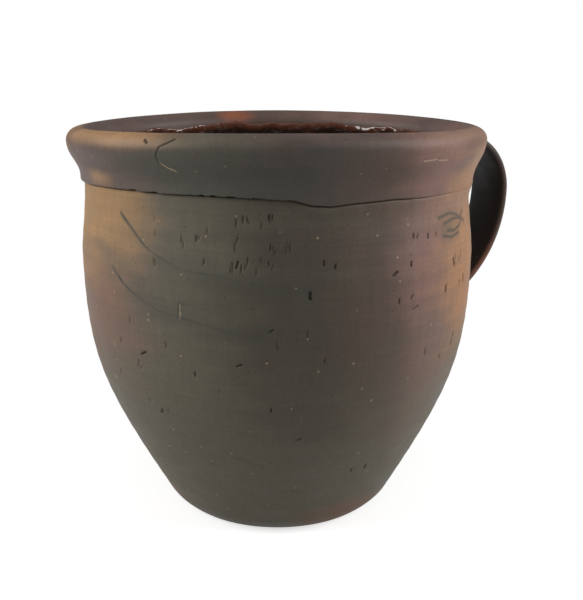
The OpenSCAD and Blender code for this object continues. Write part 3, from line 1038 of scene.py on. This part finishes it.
# %% Spin and ripple the glaze
skin_line = inner_line(GLAZE)
behind_line = inner_line(-0.15 * MM)[::-1][::5]
glaze_line = np.vstack([
    skin_line,
    straight(skin_line[-1], (MOUTH_R - GLAZE, GLAZE_Z - 0.5 * MM), 16),
    corner((MOUTH_R - GLAZE, GLAZE_Z - 0.5 * MM), (MOUTH_R - GLAZE, GLAZE_Z),
           (MOUTH_R + 0.1 * MM, GLAZE_Z + 0.1 * MM), 4),
    [(MOUTH_R + 0.15 * MM, TENON_Z)],
    behind_line, [(0, FLOOR - 0.15 * MM)],
])
glaze_show = np.zeros(len(glaze_line))
glaze_show[1:len(skin_line)] = 0.6
glaze = spun("poured_glaze", glaze_line, glaze_show, 340, lead_glaze, Crowding=0.0, Seed=9.0)


def ripple_glaze(mesh):
    """Ripples the glaze's free face and gives it a wavy upper edge."""
    points = points_of(mesh)
    row = values_of(mesh, "row")
    free = (row < len(skin_line) + 18) * 1.0
    distance = np.hypot(points[:, 0], points[:, 1])
    ripple = cloud(points, 7 * MM, 13, 2) * 0.16 * MM * free * ease(0, 6, distance / MM)
    inner = np.c_[-points[:, :2] / np.maximum(distance, 1e-9)[:, None], np.zeros(len(points))]
    steep = ease(24, 44, points[:, 2] / MM)
    points += (ripple * steep)[:, None] * inner
    points[:, 2] += ripple * (1 - steep)
    height = ease(172, 183, points[:, 2] / MM)
    edge = cloud(points * (1, 1, 0), 16 * MM, 17, 3)
    points[:, 2] += 1.5 * MM * edge * height
    set_points(mesh, points)
    set_values(mesh, "thin", ease(180.5, 183.4, points[:, 2] / MM - 1.5 * edge * height))


ripple_glaze(glaze.data)
outward(glaze.data)
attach(glaze, "root")
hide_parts("glaze_lining")
print("glaze triangles:", sum(len(face.vertices) - 2 for face in glaze.data.polygons))

# %% [markdown]
# ## The pulled strap
# The handle was pulled from a lump of clay into a strap, thick down its middle and thin at its
# edges, then bent and luted on. So it is one cross-section carried along a line of two bends. The
# section widens a little at both roots, and the pulling fingers left two shallow lines outside.

# %% Line of the strap
STRAP_HALF_W = (strap_high.y - strap_low.y) / 2
STRAP_HALF_T = 3.0 * MM
STRAP_TOP_DROP = 9.0 * MM
STRAP_SPAN = 84.0 * MM
STRAP_TOP_Z = CREST_Z - STRAP_TOP_DROP
STRAP_OUT_X = strap_high.x - STRAP_HALF_T
BEND_R = 28.0 * MM
SEAT_Z = STRAP_TOP_Z - STRAP_SPAN
arc_run = STRAP_OUT_X - float(outer_radius(SEAT_Z))
arc_fall = STRAP_TOP_Z - BEND_R - SEAT_Z
ARC_R = (arc_run ** 2 + arc_fall ** 2) / (2 * arc_run)
ARC_TURN = math.degrees(math.atan2(arc_fall, ARC_R - arc_run))
top_root = straight((TENON_R + 1 * MM, STRAP_TOP_Z), (STRAP_OUT_X - BEND_R, STRAP_TOP_Z), 8)
top_bend = bow((STRAP_OUT_X - BEND_R, STRAP_TOP_Z - BEND_R), BEND_R, BEND_R, 90, 0, 44)
low_bend = bow((STRAP_OUT_X - ARC_R, STRAP_TOP_Z - BEND_R), ARC_R, ARC_R, 0, -ARC_TURN - 6, 60)
strap_line = np.vstack([top_root[:-1], top_bend, low_bend[1:]])
steps = np.linalg.norm(np.diff(strap_line, axis=0), axis=1)
strap_share = np.concatenate([[0], np.cumsum(steps)]) / steps.sum()
strap_way = np.gradient(strap_line, axis=0)
strap_way /= np.linalg.norm(strap_way, axis=1)[:, None]
print("strap length %.1f mm, lower arc %.1f mm" % (steps.sum() / MM, ARC_R / MM))

# %% Sweep the strap
RING = 72
ring_turn = np.linspace(0, math.tau, RING, endpoint=False)


def power(values, exponent):
    """A power that keeps the sign."""
    return np.sign(values) * np.abs(values) ** exponent


def strap_ring(index, grow=1.0):
    """The strap's cross-section at a station: thick in the middle and thin at the edges."""
    share = strap_share[index]
    root = (1 - ease(0.0, 0.16, share)) * 1.6 * MM + ease(0.82, 1.0, share) * 1.4 * MM
    low = ease(0.62, 0.95, share)
    across = power(np.cos(ring_turn), 0.72) * (STRAP_HALF_W + root - 0.3 * MM) * grow
    side = across / STRAP_HALF_W
    thick = STRAP_HALF_T * (1.06 + 0.16 * low)
    out = power(np.sin(ring_turn), 0.9) * thick * grow
    lines = np.exp(-((np.abs(side) - 0.42) / 0.16) ** 2) * 0.45 * MM * ease(0.0, 0.2, share)
    out -= np.where(out > 0, lines, 0)
    sway = 0.5 * MM * math.sin(5.2 * share + 0.6)
    x, z = strap_line[index]
    way = strap_way[index]
    normal = np.array([-way[1], way[0]])
    return np.c_[x + out * normal[0], across + sway, z + out * normal[1]]


def lofted(name, rings, material):
    """A closed piece through rings of points, with a point in the middle of each end."""
    count = len(rings[0])
    ends = [np.mean(rings[0], axis=0), np.mean(rings[-1], axis=0)]
    points = np.vstack(list(rings) + ends)
    faces = []
    for row in range(len(rings) - 1):
        for i in range(count):
            j = (i + 1) % count
            low, high = row * count, (row + 1) * count
            faces.append((low + i, low + j, high + j, high + i))
    last = len(rings) * count
    top = last - count
    for i in range(count):
        j = (i + 1) % count
        faces.append((last, j, i))
        faces.append((last + 1, top + i, top + j))
    mesh = bpy.data.meshes.new(name)
    mesh.from_pydata(points.tolist(), [], faces)
    mesh.polygons.foreach_set("use_smooth", [True] * len(faces))
    mesh.materials.append(material)
    piece = bpy.data.objects.new(name, mesh)
    bpy.context.scene.collection.objects.link(piece)
    return piece


strap = lofted("pulled_strap", [strap_ring(i) for i in range(len(strap_line))], handle_redware)


def colour_strap(mesh):
    """Near-black on the loop's inner face, partly soot and partly painted shade, grey at the top and reddish
    brown towards the lower root.
    """
    points = points_of(mesh)
    flat = points[:, [0, 2]]
    nearest = np.argmin(((flat[:, None] - strap_line[None]) ** 2).sum(2), axis=1)
    way = strap_way[nearest]
    out = ((flat - strap_line[nearest]) * np.c_[-way[:, 1], way[:, 0]]).sum(1) / STRAP_HALF_T
    share = strap_share[nearest]
    edge = np.abs(points[:, 1]) / STRAP_HALF_W
    lumps = cloud(points, 16 * MM, 41)
    tones = {key: np.array(linear(value)[:3]) for key, value in CLAY.items()}
    colours = np.tile(tones["umber"], (len(points), 1))
    for tone, amount in (
        ("smoke", 0.8 * (1 - ease(0.1, 0.42, share + 0.05 * lumps))),
        ("rust", 0.45 * ease(0.55, 0.8, share + 0.06 * lumps)),
        ("char", 0.6 * ease(0.0, 0.6, out + 0.3 * lumps) * (1 - ease(0.8, 1.0, edge))),
        # The near-black on the inner face, which faces the pot, is partly soot and partly painted shade
        ("soot_and_painted_shade", 0.96 * (1 - ease(-0.5, -0.05, out + 0.08 * lumps + 0.35 * ease(0.86, 1.02, edge)))),
        ("smoke", 0.3 * (1 - ease(0.08, 0.3, share)) * (out < 0)),
    ):
        colours += amount[:, None] * (tones[tone] - colours)
    points += cloud(points, 9 * MM, 43, 2)[:, None] * 0.12 * MM
    set_points(mesh, points)
    set_colours(mesh, "firing", colours)
    for name in ("soot_and_painted_shade", "pale", "painted_hollow_shade"):
        set_values(mesh, name, np.zeros(len(points)))


colour_strap(strap.data)
outward(strap.data)
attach(strap, "root")
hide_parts("handle_strap")
print("strap triangles:", sum(len(face.vertices) - 2 for face in strap.data.polygons))

# %% [markdown]
# ## Luting
# Both roots were scored, wetted and stuck on, and soft clay was pressed round them with a thumb.
# Each luting is a closed fillet: one ring lies on the pot's wall, one on the strap, and the rings
# between bend in towards the corner. Noise gives it the dents of the thumb.

# %% Press on the lutings
def luting(name, station, root_z, half_w, half_h, seed):
    """A fillet between the pot's wall round root_z and the strap at one of its stations."""
    on_strap = strap_ring(station, 1.02)
    inside_strap = strap_ring(station, 0.9)
    ragged = 1 + 0.07 * np.sin(3 * ring_turn + seed) + 0.04 * np.sin(7 * ring_turn + 2 * seed)
    wide = power(np.cos(ring_turn), 0.8) * half_w * ragged
    tall = power(np.sin(ring_turn), 0.8) * half_h * ragged
    height = root_z + tall

    def on_wall(depth):
        reach = outer_radius(height) - depth
        return np.c_[np.sqrt(reach ** 2 - wide ** 2), wide, height]

    foot = on_wall(0.3 * MM)
    heart = on_wall(3.0 * MM)
    reach = outer_radius(on_strap[:, 2]) + 0.7 * MM
    bent = np.c_[np.sqrt(reach ** 2 - on_strap[:, 1] ** 2), on_strap[:, 1], on_strap[:, 2]]
    rings = [heart]
    for t in np.linspace(0, 1, 16):
        rings.append((1 - t) ** 2 * foot + 2 * t * (1 - t) * bent + t * t * on_strap)
    rings.append(inside_strap)
    piece = lofted(name, rings, luting_clay)
    points = points_of(piece.data)
    dents = cloud(points, 6 * MM, seed, 2) * 0.35 * MM
    middle = points.mean(axis=0)
    away = points - middle
    points += dents[:, None] * away / np.linalg.norm(away, axis=1)[:, None]
    set_points(piece.data, points)
    patches = BODY_PATCHES if root_z < SEAM_Z else COLLAR_PATCHES
    set_colours(piece.data, "firing", fired(points, "umber", patches))
    for key in ("soot_and_painted_shade", "pale", "painted_hollow_shade"):
        set_values(piece.data, key, np.zeros(len(points)))
    outward(piece.data)
    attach(piece, "root")
    return piece


# Each luting's half width and half height on the wall, and where on the strap it ends
UPPER_SPREAD = (19.5 * MM, 6.6 * MM)
LOWER_SPREAD = (19.0 * MM, 9.0 * MM)
UPPER_REACH = 14.5 * MM
UPPER_SAG = 0.8 * MM
STEPS_FROM_ROOT = 12
top_station = int(np.argmax(strap_line[:, 0] > strap_line[0, 0] + UPPER_REACH))
low_station = len(strap_line) - STEPS_FROM_ROOT
upper_luting = luting("upper_luting", top_station, STRAP_TOP_Z - UPPER_SAG, *UPPER_SPREAD, 3)
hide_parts("handle_upper_luting")
lower_luting = luting("lower_luting", low_station, SEAT_Z, *LOWER_SPREAD, 5)
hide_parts("handle_lower_luting")
print("luting stations:", top_station, low_station, "of", len(strap_line))

# %% [markdown]
# ## Floor and light
# The pot stands on white, as in a catalogue. For the camera the floor fades to plain white a
# little way off and keeps the pot's soft shadow near it; to every other ray it is a pale floor.
# Two softboxes stand nearly at the pot's sides, so its sides are bright and its middle is darker,
# and each shows as a rippled highlight on the glaze opposite.

# %% Floor
FLOOR_SIZE = 4.0
# Where the floor starts to fade and where it is plain white, in metres from the pot's axis
FADE_FROM = 0.07
FADE_TO = 0.16
# How pale the floor is to the camera and to the light that bounces off it
CAMERA_GREY = 0.8
BOUNCE_GREY = 0.3
FLOOR_GLOW = 0.62
floor_mesh = bpy.data.meshes.new("floor")
half = FLOOR_SIZE / 2
floor_corners = [(-half, -half, 0), (half, -half, 0), (half, half, 0), (-half, half, 0)]
floor_mesh.from_pydata(floor_corners, [], [(0, 1, 2, 3)])
floor = bpy.data.objects.new("floor", floor_mesh)
bpy.context.scene.collection.objects.link(floor)
floor_paint = bpy.data.materials.new("white_floor")
floor_paint.use_nodes = True
paint = floor_paint.node_tree
paint.nodes.clear()
spot = add(paint, "ShaderNodeTexCoord").outputs["Object"]
spread = add(paint, "ShaderNodeVectorMath", {0: spot}, operation="LENGTH").outputs["Value"]
far = add(paint, "ShaderNodeMapRange", {
    "Value": spread, "From Min": FADE_FROM, "From Max": FADE_TO,
}, interpolation_type="SMOOTHSTEP").outputs[0]
ray = add(paint, "ShaderNodeLightPath").outputs
seen = add(paint, "ShaderNodeMath", {
    0: ray["Is Camera Ray"], 1: ray["Is Glossy Ray"]}, operation="MAXIMUM").outputs[0]
seen = add(paint, "ShaderNodeMath", {
    0: seen, 1: ray["Is Transmission Ray"]}, operation="MAXIMUM").outputs[0]
pale_grey = add(paint, "ShaderNodeMapRange", {
    "Value": ray["Is Camera Ray"], "To Min": BOUNCE_GREY, "To Max": CAMERA_GREY}).outputs[0]
lit = add(paint, "ShaderNodeBsdfDiffuse", {"Color": pale_grey}).outputs[0]
glow_strength = add(paint, "ShaderNodeMath", {
    0: seen, 1: FLOOR_GLOW}, operation="MULTIPLY").outputs[0]
glow = add(paint, "ShaderNodeEmission", {"Color": (1, 1, 1, 1), "Strength": glow_strength}).outputs[0]
near_floor = add(paint, "ShaderNodeAddShader", {0: lit, 1: glow}).outputs[0]
plain = add(paint, "ShaderNodeEmission", {"Color": (1, 1, 1, 1), "Strength": 1.0}).outputs[0]
share = add(paint, "ShaderNodeMath", {0: far, 1: seen}, operation="MULTIPLY").outputs[0]
whole = add(paint, "ShaderNodeMixShader", {0: share, 1: near_floor, 2: plain}).outputs[0]
add(paint, "ShaderNodeOutputMaterial", {"Surface": whole})
floor_mesh.materials.append(floor_paint)

# %% World and softboxes
WORLD_LEVEL = 0.2
world = bpy.data.worlds.new("studio")
bpy.context.scene.world = world
world.use_nodes = True
air = world.node_tree
air.nodes.clear()
ray = add(air, "ShaderNodeLightPath").outputs
seen = add(air, "ShaderNodeMath", {
    0: ray["Is Camera Ray"], 1: ray["Is Transmission Ray"]}, operation="MAXIMUM").outputs[0]
ambient = add(air, "ShaderNodeBackground", {"Color": (1, 1, 1, 1), "Strength": WORLD_LEVEL}).outputs[0]
backdrop = add(air, "ShaderNodeBackground", {"Color": (1, 1, 1, 1), "Strength": 1.0}).outputs[0]
mixed = add(air, "ShaderNodeMixShader", {0: seen, 1: ambient, 2: backdrop}).outputs[0]
add(air, "ShaderNodeOutputWorld", {"Surface": mixed})

# The lamps face this height on the pot's axis, in metres
AIM_Z = 0.1


def softbox(name, degrees, elevation, distance, wide, tall, watts):
    """A soft rectangular lamp that faces the pot's middle."""
    data = bpy.data.lights.new(name, "AREA")
    data.shape = "RECTANGLE"
    data.size = wide
    data.size_y = tall
    data.energy = watts
    lamp = bpy.data.objects.new(name, data)
    level = distance * math.cos(math.radians(elevation))
    place = round_from_front(degrees, level, AIM_Z + distance * math.sin(math.radians(elevation)))
    lamp.location = place
    lamp.rotation_euler = (place - Vector((0, 0, AIM_Z))).to_track_quat("Z", "Y").to_euler()
    bpy.context.scene.collection.objects.link(lamp)


# Each lamp is its name, its degrees round from the camera and above the table, its distance, its
# width and height in metres, and its watts
LAMPS = [
    ("left_softbox", -78, 27, 1.2, 0.8, 0.6, 8.5),
    ("right_softbox", 78, 27, 1.2, 0.8, 0.6, 8.5),
    ("front_fill", 0, 30, 1.6, 1.2, 0.6, 1.5),
]
for lamp_settings in LAMPS:
    softbox(*lamp_settings)
print("lamps:", len(LAMPS))

# %% Finish
print("finished")
